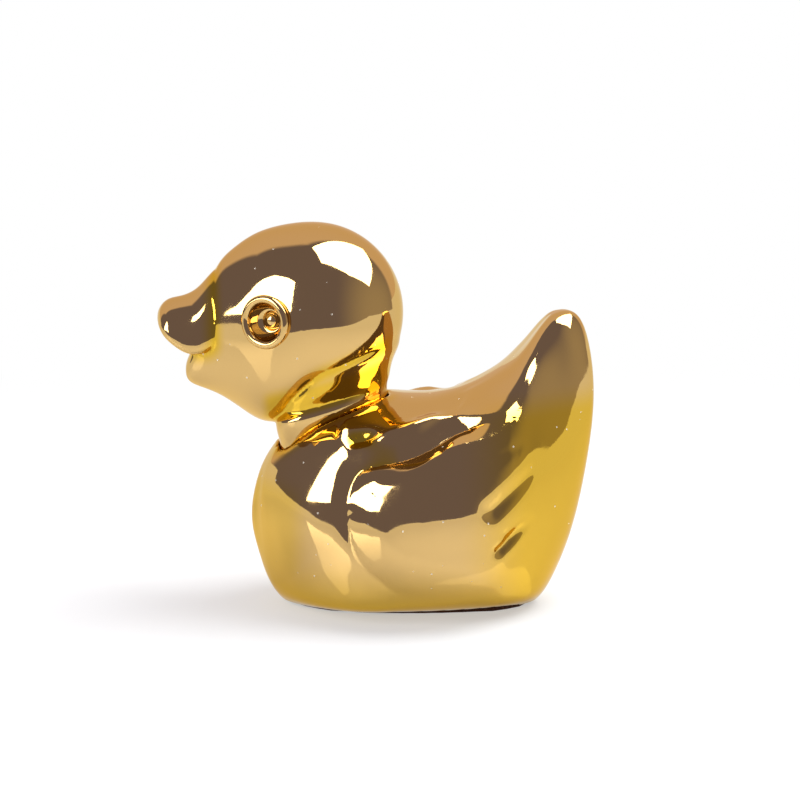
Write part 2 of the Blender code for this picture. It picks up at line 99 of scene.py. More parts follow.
# By Z, the shares of that width at the breast and from the wings back.
HEIGHT_SHARES = [
    (0.0, 0.50, 0.50),
    (0.5, 0.62, 0.58),
    (1.2, 0.84, 0.78),
    (2.0, 0.97, 0.88),
    (3.0, 1.04, 0.94),
    (4.0, 1.07, 0.965),
    (8.0, 1.075, 0.98),
    (11.0, 1.067, 0.99),
    (14.0, 1.055, 1.0),
    (16.0, 1.037, 1.018),
    (18.0, 1.016, 1.033),
    (20.0, 1.0, 1.046),
    (22.0, 0.985, 1.06),
    (24.0, 0.97, 1.07),
    (26.0, 0.96, 1.07),
    (28.0, 0.965, 1.07),
    (31.0, 1.0, 1.07),
]
BREAST_END = (-5.0, 10.0)  # where the breast's shares start to change, and over what length in X
# A table's corners are eased by the mean of this many steps, which reach past its ends.
EASING_SPAN = 7
EASING_STEP = 0.25
EASING_MARGIN = 2.0

# Wing outline in the side view, with the width of its swelling edge and how sharp its foot is.
WING_OUTLINE = [
    (-3.6, 23.0, 5.5, 0.8),
    (-1.2, 25.5, 4.5, 0.9),
    (3.8, 26.5, 4.6, 0.65),
    (7.5, 27.3, 4.4, 0.55),
    (10.4, 28.5, 4.6, 0.5),
    (14.7, 30.6, 4.8, 0.5),
    (19.5, 32.0, 7.0, 0.0),
    (23.4, 32.0, 7.0, 0.0),
    (26.4, 29.3, 4.0, 0.0),
    (27.2, 25.2, 4.0, 0.0),
    (26.9, 20.6, 4.0, 0.0),
    (25.7, 15.8, 4.0, 0.0),
    (23.4, 11.2, 5.0, 0.0),
    (19.6, 6.6, 6.0, 0.0),
    (14.8, 5.4, 7.0, 0.0),
    (8.5, 5.4, 7.5, 0.0),
    (3.2, 6.4, 8.0, 0.1),
    (0.6, 8.2, 7.0, 0.2),
    (-2.2, 10.9, 6.5, 0.2),
    (-4.0, 15.0, 6.0, 0.35),
    (-4.4, 19.4, 5.5, 0.55),
]
WING_CURVE_STEPS = 8
WING_RISE = 3.5
# The swelling's front: its X, the Z where it has that X, the length of its rise, and its lean.
WING_FRONT = (-6.2, 20.0, 15.0, 0.45)
WING_LEAN = (0.15, 10.0, 20.0)  # the share by which the rise gets less, from a Z, over a length
WING_FADE = (28.0, -16.0)  # the X where the wing has faded out, and the length over which it does
WING_SOFT_EDGE = (0.7, 0.35)  # the slope of a soft edge, and its height at the outline
WING_GROOVE = (0.4, 1.1)  # depth outside the wing's edge, and the reach of its flank
# Furrows, and ridges where the depth is below 0. Each has a path in the side view, a depth, a half
# width, and the shares of the path over which it fades in and out.
FURROWS = [
    ([(18.2, 26.6), (23.6, 29.6)], 0.4, 0.9, 0.0, 0.8),
    ([(17.6, 19.6), (26.0, 26.4)], 0.9, 1.2, 0.0, 0.8),
    ([(19.8, 15.4), (24.4, 18.2)], 0.4, 0.9, 0.0, 0.8),
    ([(18.6, 13.2), (25.0, 17.8)], 1.0, 0.9, 0.0, 0.8),
    ([(-3.4, 29.5), (2.2, 30.6)], 0.9, 1.1, 0.0, 0.8),
    ([(-5.1, 30.9), (-5.6, 29.3), (-4.3, 27.9), (-2.1, 27.9)], -0.35, 0.6, 0.0, 0.5),
    ([(-1.0, 31.5), (10.2, 31.6), (16.7, 32.4), (20.7, 34.0), (23.5, 35.4)], -0.9, 3.0, 0.3, 0.4),
]
# Hollows under a crisp edge. Each has the edge's X and Z with the hollow's depth there, and how far
# below the edge it is deepest.
BACK_EDGE = [
    (-2.0, 29.5, 0.0),
    (3.0, 30.2, 0.8),
    (10.2, 31.2, 0.95),
    (15.0, 31.8, 0.8),
    (18.0, 32.6, 0.3),
    (20.5, 33.5, 0.0),
]
WING_TOP_EDGE = [
    (4.0, 24.5, 0.0),
    (7.0, 25.2, 0.3),
    (13.5, 27.5, 0.75),
    (16.5, 28.7, 0.8),
    (18.7, 29.9, 0.3),
    (20.5, 31.0, 0.0),
]
HOLLOWS = [(BACK_EDGE, 1.7), (WING_TOP_EDGE, 2.0)]
# Soft swellings of the plain form: centre, reach along X and Z, and height.
SWELLINGS = [
    ((12.5, 29.0), (8.0, 4.5), 0.7),
    ((8.5, 26.0), (5.5, 9.0), 1.15),
    ((-11.0, 18.0), (7.5, 7.0), 0.85),
]
CARVED_FROM = (2.0, 3.0)  # the relief sets in this far from the middle plane, over this length
CARVED_UP_TO = (0.98, -0.2)  # the normal's Z where the relief has faded out, and the span of that
FURROW_REFLECTION_DEPTH = 0.5  # a carved depth at which the painted yellow reflection is at its full share
# Where painted yellow reflection lies on the body, on the rump, near the base and on the breast:
# its share, and where it starts along X and along Z, each with the length over which it comes in.
BODY_PAINTED_REFLECTIONS = [
    (0.9, (12.0, 12.0), (37.0, -5.0)),
    (0.9, None, (12.0, -11.0)),
    (0.55, (-10.0, -4.0), (23.0, -4.0)),
]

HEAD_CENTRE = (-10.1, 47.3)
HEAD_RADIUS = 14.45
HEAD_BALL_STEPS = 5
FACE_STATIONS = [
    ((-14.8, 61.3), (-13.4, 30.6), 13.6),
    ((-19.3, 59.9), (-17.6, 29.7), 12.0),
    ((-22.9, 57.5), (-21.4, 31.6), 9.5),
    ((-25.4, 54.7), (-24.6, 33.7), 7.2),
    ((-27.4, 49.6), (-27.3, 34.9), 5.0),
    ((-28.7, 44.6), (-29.4, 35.7), 3.7),
    ((-29.6, 41.4), (-30.5, 36.9), 2.4),
]
FACE_POLE = (-30.5, 39.2)
HEAD_FULLNESS = 2.05
HEAD_MESH = (112, 112)
HEAD_VOXEL = 0.26
HEAD_SMOOTHING = 20
CREASE_DEGREES = 25
CREASE_KEEP = (0.2, 1.6)  # how far from a crease the smoothing sets in, and over what length
SMOOTHING_FACTOR = 0.5
OVERALL_SMOOTHING = 3
PAINTED_REFLECTION_REACH = 2.6  # the painted yellow reflection reaches this far out from a crease

BILL_ROOT_POLE = (-19.0, 47.0)
BILL_TIP_POLE = (-35.0, 47.0)
BILL_STATIONS = [
    ((-20.6, 52.6), (-20.6, 46.5), 5.6),
    ((-23.8, 55.0), (-23.8, 44.6), 6.5),
    ((-26.5, 53.5), (-26.8, 42.6), 7.2),
    ((-28.8, 51.1), (-29.5, 42.1), 7.2),
    ((-31.4, 49.9), (-31.9, 43.2), 6.9),
    ((-33.7, 49.2), (-33.9, 44.9), 5.7),
]
BILL_FULLNESS = 2.5
BILL_SAG = 0.8
BILL_MESH = (80, 72)

NECK_LEVELS = [
    ((-15.4, 21.6), (0.8, 21.6), 6.8),
    ((-15.5, 25.0), (1.2, 26.0), 7.8),
    ((-15.8, 28.2), (1.6, 31.0), 9.4),
    ((-16.0, 30.6), (1.75, 35.6), 10.6),
    ((-15.4, 31.7), (2.0, 36.6), 9.9),
    ((-14.6, 34.0), (2.4, 38.7), 10.8),
    ((-12.6, 37.0), (3.2, 41.0), 11.6),
    ((-9.6, 41.5), (3.5, 45.5), 10.6),
]
NECK_TOP_POLE = (-2.0, 50.0)
NECK_FULLNESS = 2.3
NECK_SAG = -0.35
NECK_FLOOR_DROP = 1.5
NECK_MESH = (96, 96)
NECK_COLLAR = (-16.0, 30.6, 0.28)  # the collar's edge: an X, its Z there and its rise along X
# The painted yellow reflection's share on the neck, where it faces up to the ball's underside, and
# where it starts above the collar, ends above it and starts along X, each with a length.
NECK_PAINTED_REFLECTION = (0.95, (0.0, 0.8), (6.5, -2.5), (-18.5, 2.0))
SEAM_GAP = 0.25

EYE_FORWARD_DEGREES = 29.5
EYE_LIFT = 0.15
EYE_RIM_RADIUS = 4.25
EYE_RIM_THICKNESS = 1.3
EYE_RIM_PROUD = 0.5
EYE_RIM_ARC = (-70, 250)  # start and sweep of the rim's round, in degrees
EYE_RIM_STEPS = 36
EYE_WALL_STEPS = 28
EYE_WALL_BOW = 0.8
EYE_SHANK_INSET = 0.2
EYE_SHANK_END = (0.8, 0.6)  # the chamfered end's share of the shank's radius, and its length
EYE_CUP_DEPTH = 4.9
EYE_FLOOR_DEPTH = 2.5
EYE_BORE_SPARE = 1.2
EYE_BORE_TOP = 5.0
EYE_BEAD_RADIUS = 1.5
EYE_BEAD_GAP = 0.1
EYE_BEAD_MESH = (64, 40)
EYE_SEGMENTS = 96
WELD_DISTANCE = 0.001

BASE_HEIGHT = 0.4  # the plated base stands this far above the table, on its pad
RECESS_INSET = 0.9
RECESS_LEVELS = (-2.0, 1.3)
RECESS_SEGMENTS = 96

CAMERA_DISTANCE = 400.0
CAMERA_ELEVATION = 10.0
CAMERA_TARGET = (3.8, 0.0, 33.0)
VIEW_WIDTH = 128.8
SENSOR_WIDTH = 36.0
NEAREST_SEEN = 0.01

# A noise is a scale per metre, a detail and a roughness. A range is a low and a high level and the
# values there. A bump is a height in metres and a strength.
PLATING = (0.655, 0.435, 0.165, 1.0)
# Painted reflection: the deeper yellow of gold reflecting gold, painted into creases and hollows.
PAINTED_REFLECTION_TONE = (0.67, 0.42, 0.035, 1.0)
PLATING_EDGE = (0.90, 0.78, 0.55, 1.0)  # the tint of the plating where it is seen edge on
SMUDGE_NOISE = (140.0, 4.0, 0.6)
SMUDGE_ROUGHNESS = (0.45, 0.75, 0.035, 0.11)
WAVE_NOISE = (190.0, 1.0, 0.5)
WAVE_BUMP = (0.0006, 0.05)
PEEL_NOISE = (1400.0, 2.0, 0.5)
PEEL_BUMP = (0.0001, 0.02)
DUST = (0.80, 0.74, 0.60, 1.0)
DUST_PER_METRE = 450.0
DUST_GRAIN = (0.05, 0.09, 0.7, 0.0)
DUST_CHOICE = (0.45, 0.55, 0.0, 1.0)
FELT = (0.065, 0.025, 0.018, 1.0)
FELT_TIPS = (0.143, 0.055, 0.0396, 1.0)
FELT_NOISE = (2600.0, 5.0, 0.7)
FELT_RANGE = (0.35, 0.7, 0.0, 1.0)
FELT_ROUGHNESS = 0.95
FELT_SHEEN = 0.4
FELT_BUMP = (0.0002, 0.8)
STEEL = (0.56, 0.57, 0.58, 1.0)
STEEL_STRETCH = (1.0, 1.0, 0.05)
STEEL_NOISE = (3000.0, 3.0, 0.5)
STEEL_ROUGHNESS = (0.3, 0.7, 0.25, 0.45)
STEEL_BUMP = (0.0001, 0.2)

STAGE_HALF_WIDTH = 900
TABLE_REACH = (-205, 620)
TABLE = (0.76, 0.775, 0.78, 1.0)
TABLE_ROUGHNESS = 0.06
TABLE_WHITE = (0.04, 0.24, 0.45, 1.0)
BACKDROP_PLACE = 600
BACKDROP_LEVELS = (-1, 100)
BACKDROP_ROUGHNESS = 0.9
WALL = (0.85, 0.70, 0.66, 1.0)
# The tan wall is past all these planes, given by their normals.
WALL_SIDES = [(-0.54, 0.81, -0.23), (0.0, 0.98, -0.20), (0.62, 0.69, 0.36)]
WALL_RANGE = (-0.04, 0.08, 0.0, 1.0)
ROOM = (0.205, 0.185, 0.29, 1.0)
ROOM_RIGHT = (0.49, 0.44, 0.40, 1.0)  # a warmer and lighter end of the room
ROOM_RANGE = (0.5, 1.1, 0.0, 1.0)
SOFTBOX_DISTANCE = 520.0
SOFTBOX_GLOW = 7.0
SOFTBOX_FRINGE = 34.0  # width over which a softbox's edge fades
# The softboxes' corners, as directions from the head.
OVERHEAD_BOX = [
    (-0.02, 0.11, 0.99),
    (0.51, 0.62, 0.60),
    (0.69, 0.45, 0.56),
    (0.90, -0.02, 0.43),
    (0.68, -0.25, 0.69),
    (0.18, -0.29, 0.94),
]
SIDE_BOX = [
    (-0.99, -0.13, 0.05),
    (-0.85, -0.35, 0.40),
    (-0.63, -0.42, 0.66),
    (-0.54, -0.58, 0.60),
    (-0.61, -0.77, 0.15),
]


def smoothstep(t):
    t = np.clip(t, 0.0, 1.0)
    return t * t * (3 - 2 * t)


def ramp(values, start, length):
    """Rises smoothly from 0 at start to 1 a length away, which may be below 0."""
    return smoothstep((values - start) / length)


class ClosedSpline:
    """A smooth closed curve through evenly counted points, with continuous curvature."""

    def __init__(self, points):
        self.points = np.array(points, float)
        count = len(self.points)
        system = 4 * np.eye(count) + np.roll(np.eye(count), 1, 0) + np.roll(np.eye(count), -1, 0)
        second = np.roll(self.points, -1, 0) - 2 * self.points + np.roll(self.points, 1, 0)
        self.bend = np.linalg.solve(system, 6 * second)

    def at(self, s):
        count = len(self.points)
        low = int(math.floor(s)) % count
        high = (low + 1) % count
        u = s - math.floor(s)
        return (
            (self.points[low] - self.bend[low] / 6) * (1 - u)
            + (self.points[high] - self.bend[high] / 6) * u
            + self.bend[low] / 6 * (1 - u) ** 3
            + self.bend[high] / 6 * u**3
        )


class Loft:
    """A closed form, given by its side view's outline and half widths, mirrored about Y = 0."""

    def __init__(self, first_pole, stations, last_pole, fullness, grow=0.0, sag=0.0):
        inner = [station[0] for station in stations]
        outer = [station[1] for station in stations]
        widths = [station[2] + grow for station in stations]
        self.steps = len(stations) + 1
        self.outline = ClosedSpline([first_pole, *inner, last_pole, *reversed(outer)])
        self.width = ClosedSpline([0.0, *widths, 0.0, *[-w for w in reversed(widths)]])
        self.fullness = fullness if isinstance(fullness, list) else [(0, fullness)]
        self.sag = sag if isinstance(sag, list) else [(0, sag)]

    @functools.lru_cache(maxsize=None)
    def ring(self, along):
        s = along * self.steps
        inner = self.outline.at(s)
        outer = self.outline.at(2 * self.steps - s)
        return (inner + outer) / 2, (inner - outer) / 2, float(self.width.at(s))

    def point(self, along, around):
        """along runs from 0 at the first pole to 1 at the last, around from 0 at the inner side."""
        middle, half, width = self.ring(along)
        c, k = math.cos(around), math.sin(around)
        full, sag = (np.interp(along, *zip(*table)) for table in (self.fullness, self.sag))
        squarer = (abs(c) ** full + abs(k) ** full) ** (-1 / full)
        x, z = middle + half * (c * squarer - sag * k * k)
        return Vector((x, width * k * squarer, z))

    def mesh(self, around, along):
        """A sphere pulled into the form, with its poles on the form's poles."""
        bm = bmesh.new()
        bmesh.ops.create_uvsphere(bm, u_segments=around, v_segments=along, radius=1.0)
        for vert in bm.verts:
            polar = math.acos(max(-1.0, min(1.0, vert.co.z))) / math.pi
            vert.co = self.point(round(polar, 6), math.atan2(vert.co.y, vert.co.x))
        return bm


def object_from(bm, name):
    """Turns a bmesh in millimetres into an object in metres."""
    bmesh.ops.scale(bm, vec=(MM, MM, MM), verts=bm.verts)
    bmesh.ops.recalc_face_normals(bm, faces=bm.faces)
    mesh = bpy.data.meshes.new(name)
    bm.to_mesh(mesh)
    bm.free()
    mesh.shade_smooth()
    obj = bpy.data.objects.new(name, mesh)
    bpy.context.scene.collection.objects.link(obj)
    return obj


def boolean(target, other, operation):
    step = target.modifiers.new(f"{operation.lower()} {other.name}", "BOOLEAN")
    step.operation = operation
    step.solver = "EXACT"
    step.object = other


def sharp_places(obj):
    """Midpoints of the edges where an object's evaluated faces meet at an angle."""
    bm = bmesh.new()
    bm.from_object(obj, bpy.context.evaluated_depsgraph_get())
    places = []
    for edge in bm.edges:
        if edge.is_manifold and edge.calc_face_angle() > math.radians(CREASE_DEGREES):
            places.append((edge.verts[0].co + edge.verts[1].co) / 2)
    bm.free()
    return places


def cast(target, helpers, voxel, smoothing):
    """Runs a form's joints together as casting and plating do, and keeps its creases narrow."""
    places = sharp_places(target)
    tree = KDTree(len(places))
    for index, place in enumerate(places):
        tree.insert(place, index)
    tree.balance()
    skin = target.modifiers.new("skin", "REMESH")
    skin.mode = "VOXEL"
    skin.voxel_size = voxel * MM
    settle(target, helpers)
    away = np.array([tree.find(vert.co)[2] for vert in target.data.vertices]) / MM
    group = target.vertex_groups.new(name="plain")
    for index, weight in enumerate(ramp(away, *CREASE_KEEP)):
        group.add([index], float(weight), "REPLACE")
    # Painted reflection: yellow for gold reflecting itself, full at a crease and fading out from
    # it.
    painted_reflection = target.data.attributes.new("painted_reflection", "FLOAT", "POINT")
    painted_reflection.data.foreach_set("value", 1 - ramp(away, 0, PAINTED_REFLECTION_REACH))
    for name, iterations in (("", OVERALL_SMOOTHING), ("plain", smoothing)):
        soften = target.modifiers.new("soften", "SMOOTH")
        soften.factor = SMOOTHING_FACTOR
        soften.iterations = iterations
        soften.vertex_group = name
    settle(target)


def settle(target, helpers=()):
    """Bakes an object's modifiers into its mesh and removes its helpers."""
    graph = bpy.context.evaluated_depsgraph_get()
    made = bpy.data.meshes.new_from_object(target.evaluated_get(graph))
    old = target.data
    target.modifiers.clear()
    target.data = made
    made.name = target.name
    bpy.data.meshes.remove(old)
    for helper in helpers:
        bpy.data.objects.remove(helper, do_unlink=True)
    made.shade_smooth()


def coordinates(mesh):
    """Places of a mesh's vertices, in metres."""
    co = np.empty(len(mesh.vertices) * 3)
    mesh.vertices.foreach_get("co", co)
    return co.reshape(-1, 3)


def paint_reflection(mesh, share):
    """Raises the painted yellow reflection's share at a mesh's vertices to at least this."""
    painted_reflection = np.empty(len(mesh.vertices))
    mesh.attributes["painted_reflection"].data.foreach_get("value", painted_reflection)
    mesh.attributes["painted_reflection"].data.foreach_set("value", np.maximum(painted_reflection, share))


def cut_level(bm, height, clear_outer=False):
    """Cuts a form at a height, and clears what is below it and, if asked, what is above."""
    bmesh.ops.bisect_plane(
        bm,
        geom=bm.verts[:] + bm.edges[:] + bm.faces[:],
        plane_co=(0, 0, height),
        plane_no=(0, 0, 1),
        clear_outer=clear_outer,
        clear_inner=True,
    )


def flat_footed(bm, height):
    """Cuts a form off flat at a height and closes it."""
    cut_level(bm, height)
    bmesh.ops.edgenet_fill(bm, edges=[edge for edge in bm.edges if edge.is_boundary])


def neck_loft(grow):
    """The neck's form, wider all round by grow."""
    levels = [
        ((front[0] - grow, front[1]), (rear[0] + grow, rear[1]), width)
        for front, rear, width in NECK_LEVELS
    ]
    front, rear, _ = NECK_LEVELS[0]
    floor_pole = ((front[0] + rear[0]) / 2, front[1] - NECK_FLOOR_DROP)
    return Loft(floor_pole, levels, NECK_TOP_POLE, NECK_FULLNESS, grow, NECK_SAG)


def wing_curve():
    """Points along the wing's outline, each with its swelling's width and foot."""
    spline = ClosedSpline(WING_OUTLINE)
    steps = range(len(WING_OUTLINE) * WING_CURVE_STEPS)
    return np.array([spline.at(step / WING_CURVE_STEPS) for step in steps])


def to_segment(points, start, end):
    """Distances from points to a segment, and the share of the segment where each is nearest."""
    start, end = np.array(start), np.array(end)
    run = end - start
    share = np.clip(((points - start) @ run) / (run @ run), 0, 1)
    return np.linalg.norm(points - start - share[:, None] * run, axis=1), share


def to_path(points, path):
    """Distances from points to a path, and the share of the path where each is nearest."""
    lengths = [math.dist(a, b) for a, b in zip(path, path[1:])]
    best, along, done = np.full(len(points), np.inf), np.zeros(len(points)), 0.0
    for a, b, length in zip(path, path[1:], lengths):
        away, share = to_segment(points, a, b)
        nearer = away < best
        best[nearer] = away[nearer]
        along[nearer] = (done + share[nearer] * length) / sum(lengths)
        done += length
    return best, along


def wing_edge(points):
    """How deep points of the side view are in the wing, and the swelling's width and foot there."""
    curve = wing_curve()
    best = np.full(len(points), np.inf)
    swell = np.ones(len(points))
    crease = np.zeros(len(points))
    inside = np.zeros(len(points), bool)
    for a, b in zip(curve, np.roll(curve, -1, axis=0)):
        away, share = to_segment(points, a[:2], b[:2])
        nearer = away < best
        best[nearer] = away[nearer]
        swell[nearer] = a[2] + (b[2] - a[2]) * share[nearer]
        crease[nearer] = a[3] + (b[3] - a[3]) * share[nearer]
        if a[1] != b[1]:
            crossing = (a[1] > points[:, 1]) != (b[1] > points[:, 1])
            reach = a[0] + (b[0] - a[0]) * (points[:, 1] - a[1]) / (b[1] - a[1])
            inside ^= crossing & (points[:, 0] < reach)
    return np.where(inside, best, -best), swell, np.clip(crease, 0, 1)


def wing_relief(points):
    """Height of the wing's carving over the plain body, at points of the side view."""
    x, z = points.T
    depth, swell, crease = wing_edge(points)
    fade = ramp(x, *WING_FADE)
    share, *heights = WING_LEAN
    rise = WING_RISE * fade * (1 - share * ramp(z, *heights))
    start, level, length, lean = WING_FRONT
    ahead = 1 - np.clip((x - start - lean * (z - level)) / length, 0, 1)
    rise *= 1 - ahead**2
    within = np.clip(depth / swell, 0, 1)
    sharp = np.sqrt(1 - (1 - within) ** 2)
    soft = smoothstep(WING_SOFT_EDGE[0] * depth / swell + WING_SOFT_EDGE[1])
    round_edge = 1 - (1 - within) ** 2
    hard = np.maximum(2 * crease - 1, 0)
    blurred = np.maximum(1 - 2 * crease, 0)
    height = rise * (hard * sharp + blurred * soft + (1 - hard - blurred) * round_edge)
    flank = np.exp(-np.maximum(-depth, 0) / WING_GROOVE[1]) * (1 - sharp)
    height -= WING_GROOVE[0] * (1 - blurred) * fade * flank
    for path, deep, half, fade_in, fade_out in FURROWS:
        away, share = to_path(points, path)
        taper = ramp(share, 1, -fade_out)
        if fade_in:
            taper *= ramp(share, 0, fade_in)
        height -= deep * taper * np.exp(-((away / half) ** 2))
    for edge, reach in HOLLOWS:
        places, levels, depths = zip(*edge)
        below = np.maximum(np.interp(x, places, levels) - z, 0) / reach
        height -= np.interp(x, places, depths) * below * np.exp(1 - below)
    for centre, reach, swelling in SWELLINGS:
        height += swelling * np.exp(-(((points - centre) / reach) ** 2).sum(axis=1))
    return height


def eased(values, places, shares):
    """Reads a table with its corners eased."""
    steps = np.arange(places[0] - EASING_MARGIN, places[-1] + EASING_MARGIN, EASING_STEP)
    read = np.pad(np.interp(steps, places, shares), EASING_SPAN // 2, "edge")
    even = np.ones(EASING_SPAN) / EASING_SPAN
    return np.interp(values, steps, np.convolve(read, even, "valid"))


def draw_in(bm):
    """Draws the body's plain form in to its plan and to its shares by height."""
    co = np.array([vert.co for vert in bm.verts])
    levels, front, rear = zip(*HEIGHT_SHARES)
    back = ramp(co[:, 0], *BREAST_END)
    share = (1 - back) * eased(co[:, 2], levels, front) + back * eased(co[:, 2], levels, rear)
    share *= eased(co[:, 0], *zip(*PLAN_SHARES))
    for vert, amount in zip(bm.verts, share):
        vert.co.y *= amount


def carve_body(obj):
    """Moves a finely meshed body's skin by the wings' relief, and paints yellow reflection on it.
    """
    mesh = obj.data
    co = coordinates(mesh)
    normals = np.empty(len(co) * 3)
    mesh.vertex_normals.foreach_get("vector", normals)
    normals = normals.reshape(-1, 3)
    across = np.abs(co[:, 1]) / MM
    near = across > CARVED_FROM[0]
    side = ramp(across[near], *CARVED_FROM) * ramp(normals[near, 2], *CARVED_UP_TO)
    move = wing_relief(co[near][:, [0, 2]] / MM) * side * MM
    co[near] += normals[near] * move[:, None]
    mesh.vertices.foreach_set("co", co.ravel())
    mesh.update()
    # Painted reflection: yellow in the carved furrows, then on the rump, near the base and on the
    # breast.
    furrow_reflection = np.zeros(len(co))
    furrow_reflection[near] = ramp(-move / MM, 0, FURROW_REFLECTION_DEPTH)
    paint_reflection(mesh, furrow_reflection)
    for share, along, level in BODY_PAINTED_REFLECTIONS:
        if along:
            share = share * ramp(co[:, 0] / MM, *along)
        paint_reflection(mesh, share * ramp(co[:, 2] / MM, *level))


def base_slab(body, inset, low, high):
    """A slab on the outline of the body's base, drawn in by inset."""
    bm = body.copy()
    cut_level(bm, BASE_HEIGHT, clear_outer=True)
    ring = np.array([vert.co[:2] for vert in bm.verts])
    bm.free()
    centre = (ring.min(axis=0) + ring.max(axis=0)) / 2
    away = ring - centre
    polar = zip(np.arctan2(away[:, 1], away[:, 0]), np.linalg.norm(away, axis=1))
    turns, radii = zip(*sorted(polar))
    slab = bmesh.new()
    bmesh.ops.create_circle(slab, segments=RECESS_SEGMENTS, radius=1.0, cap_ends=True)
    for vert in slab.verts:
        turn = math.atan2(vert.co.y, vert.co.x)
        radius = np.interp(turn, turns, radii, period=2 * math.pi) - inset
        vert.co = (centre[0] + radius * math.cos(turn), centre[1] + radius * math.sin(turn), low)
    grown = bmesh.ops.extrude_face_region(slab, geom=slab.faces[:])
    top = [item for item in grown["geom"] if isinstance(item, bmesh.types.BMVert)]
    bmesh.ops.translate(slab, vec=(0, 0, high - low), verts=top)
    return slab


def make_body():
    loft = Loft(BODY_NECK_POLE, BODY_STATIONS, BODY_TAIL_POLE, BODY_FULLNESS, sag=BODY_SAG)
    bm = loft.mesh(*BODY_MESH)
    draw_in(bm)
    recess = object_from(base_slab(bm, RECESS_INSET, *RECESS_LEVELS), "recess")
    flat_footed(bm, BASE_HEIGHT)
    body = object_from(bm, "gilt_body")
    socket = object_from(neck_loft(SEAM_GAP).mesh(*NECK_MESH), "socket")
    boolean(body, socket, "DIFFERENCE")
    boolean(body, recess, "DIFFERENCE")
    cast(body, (socket, recess), BODY_VOXEL, BODY_SMOOTHING)
    carve_body(body)
    return body


def head_stations():
    """Stations of the ball's rear half, then those of the face."""
    x, z = HEAD_CENTRE
    stations = []
    for step in range(1, HEAD_BALL_STEPS + 1):
        turn = math.radians(90.0 * step / HEAD_BALL_STEPS)
        rise = HEAD_RADIUS * math.sin(turn)
        at = x + HEAD_RADIUS * math.cos(turn)
        stations.append(((at, z + rise), (at, z - rise), rise))
    return stations + FACE_STATIONS


def eye_frames():
    """For each eye, its name and the matrix that stands a turned piece on the head, Z outwards."""
    turn = math.radians(EYE_FORWARD_DEGREES)
    centre = Vector((HEAD_CENTRE[0], 0, HEAD_CENTRE[1] + EYE_LIFT))
    frames = []
    for name, side in (("left", -1), ("right", 1)):
        outward = Vector((-math.sin(turn), side * math.cos(turn), 0))
        place = Matrix.Translation(centre + outward * (HEAD_RADIUS + EYE_RIM_PROUD))
        frames.append((name, place @ outward.to_track_quat("Z", "Y").to_matrix().to_4x4()))
    return frames


def turned(profile):
    """A solid of revolution about Z from (radius, height) points that start and end on the axis."""
    bm = bmesh.new()
    verts = [bm.verts.new((radius, 0, height)) for radius, height in profile]
    edges = [bm.edges.new(pair) for pair in zip(verts, verts[1:])]
    bmesh.ops.spin(
        bm,
        geom=verts + edges,
        axis=(0, 0, 1),
        cent=(0, 0, 0),
        angle=2 * math.pi,
        steps=EYE_SEGMENTS,
        use_merge=True,
    )
    bmesh.ops.remove_doubles(bm, verts=bm.verts, dist=WELD_DISTANCE)
    bmesh.ops.recalc_face_normals(bm, faces=bm.faces)
    return bm


def paint_reflection_on_neck(obj):
    """Paints yellow reflection on the neck, between its collar and the ball, where it faces the
    ball.
    """
    x, _, z = coordinates(obj.data).T / MM
    above = z - NECK_COLLAR[1] - NECK_COLLAR[2] * (x - NECK_COLLAR[0])
    share, low, high, front = NECK_PAINTED_REFLECTION
    paint_reflection(obj.data, share * ramp(above, *low) * ramp(above, *high) * ramp(x, *front))


def make_head():
    x, z = HEAD_CENTRE
    ball = Loft((x + HEAD_RADIUS, z), head_stations(), FACE_POLE, HEAD_FULLNESS)
    head = object_from(ball.mesh(*HEAD_MESH), "gilt_head")
    beak = Loft(BILL_ROOT_POLE, BILL_STATIONS, BILL_TIP_POLE, BILL_FULLNESS, sag=BILL_SAG)
    bill = object_from(beak.mesh(*BILL_MESH), "bill")
    neck_bm = neck_loft(0.0).mesh(*NECK_MESH)
    flat_footed(neck_bm, NECK_LEVELS[0][0][1])
    neck = object_from(neck_bm, "neck")
    boolean(head, bill, "UNION")
    boolean(head, neck, "UNION")
    cast(head, (bill, neck), HEAD_VOXEL, HEAD_SMOOTHING)
    paint_reflection_on_neck(head)

    helpers = []
    bore = EYE_RIM_RADIUS - EYE_RIM_THICKNESS / 2
    end = -EYE_CUP_DEPTH - EYE_BORE_SPARE
    for name, place in eye_frames():
        bm = turned([(0, end), (bore, end), (bore, EYE_BORE_TOP), (0, EYE_BORE_TOP)])
        bmesh.ops.transform(bm, matrix=place, verts=bm.verts)
        helpers.append(object_from(bm, f"{name}_bore"))
        boolean(head, helpers[-1], "DIFFERENCE")
    settle(head, helpers)
    return head


def cup_profile():
    """Half section of an eye cup: rolled rim, sloping wall, rounded floor and the bead's seat."""
    half = EYE_RIM_THICKNESS / 2
    middle = EYE_RIM_RADIUS - half
    shank = middle - EYE_SHANK_INSET
    bottom = -EYE_CUP_DEPTH
    seat = EYE_BEAD_RADIUS + EYE_BEAD_GAP
    narrow, end = EYE_SHANK_END[0] * shank, bottom - EYE_SHANK_END[1]
    profile = [(0, end), (narrow, end), (shank, bottom), (shank, -EYE_RIM_THICKNESS)]
    start, sweep = EYE_RIM_ARC
    for step in range(EYE_RIM_STEPS + 1):
        turn = math.radians(start + sweep * step / EYE_RIM_STEPS)
        profile.append((middle + half * math.cos(turn), -half + half * math.sin(turn)))
    inner = middle - half
    for step in range(1, EYE_WALL_STEPS + 1):
        share = step / EYE_WALL_STEPS
        drop = math.sin(math.pi / 2 * share) ** EYE_WALL_BOW
        radius = inner + (seat - inner) * share
        profile.append((radius, -half - (EYE_FLOOR_DEPTH - half) * drop))
    profile += [(seat, bottom), (0, bottom)]
    return profile


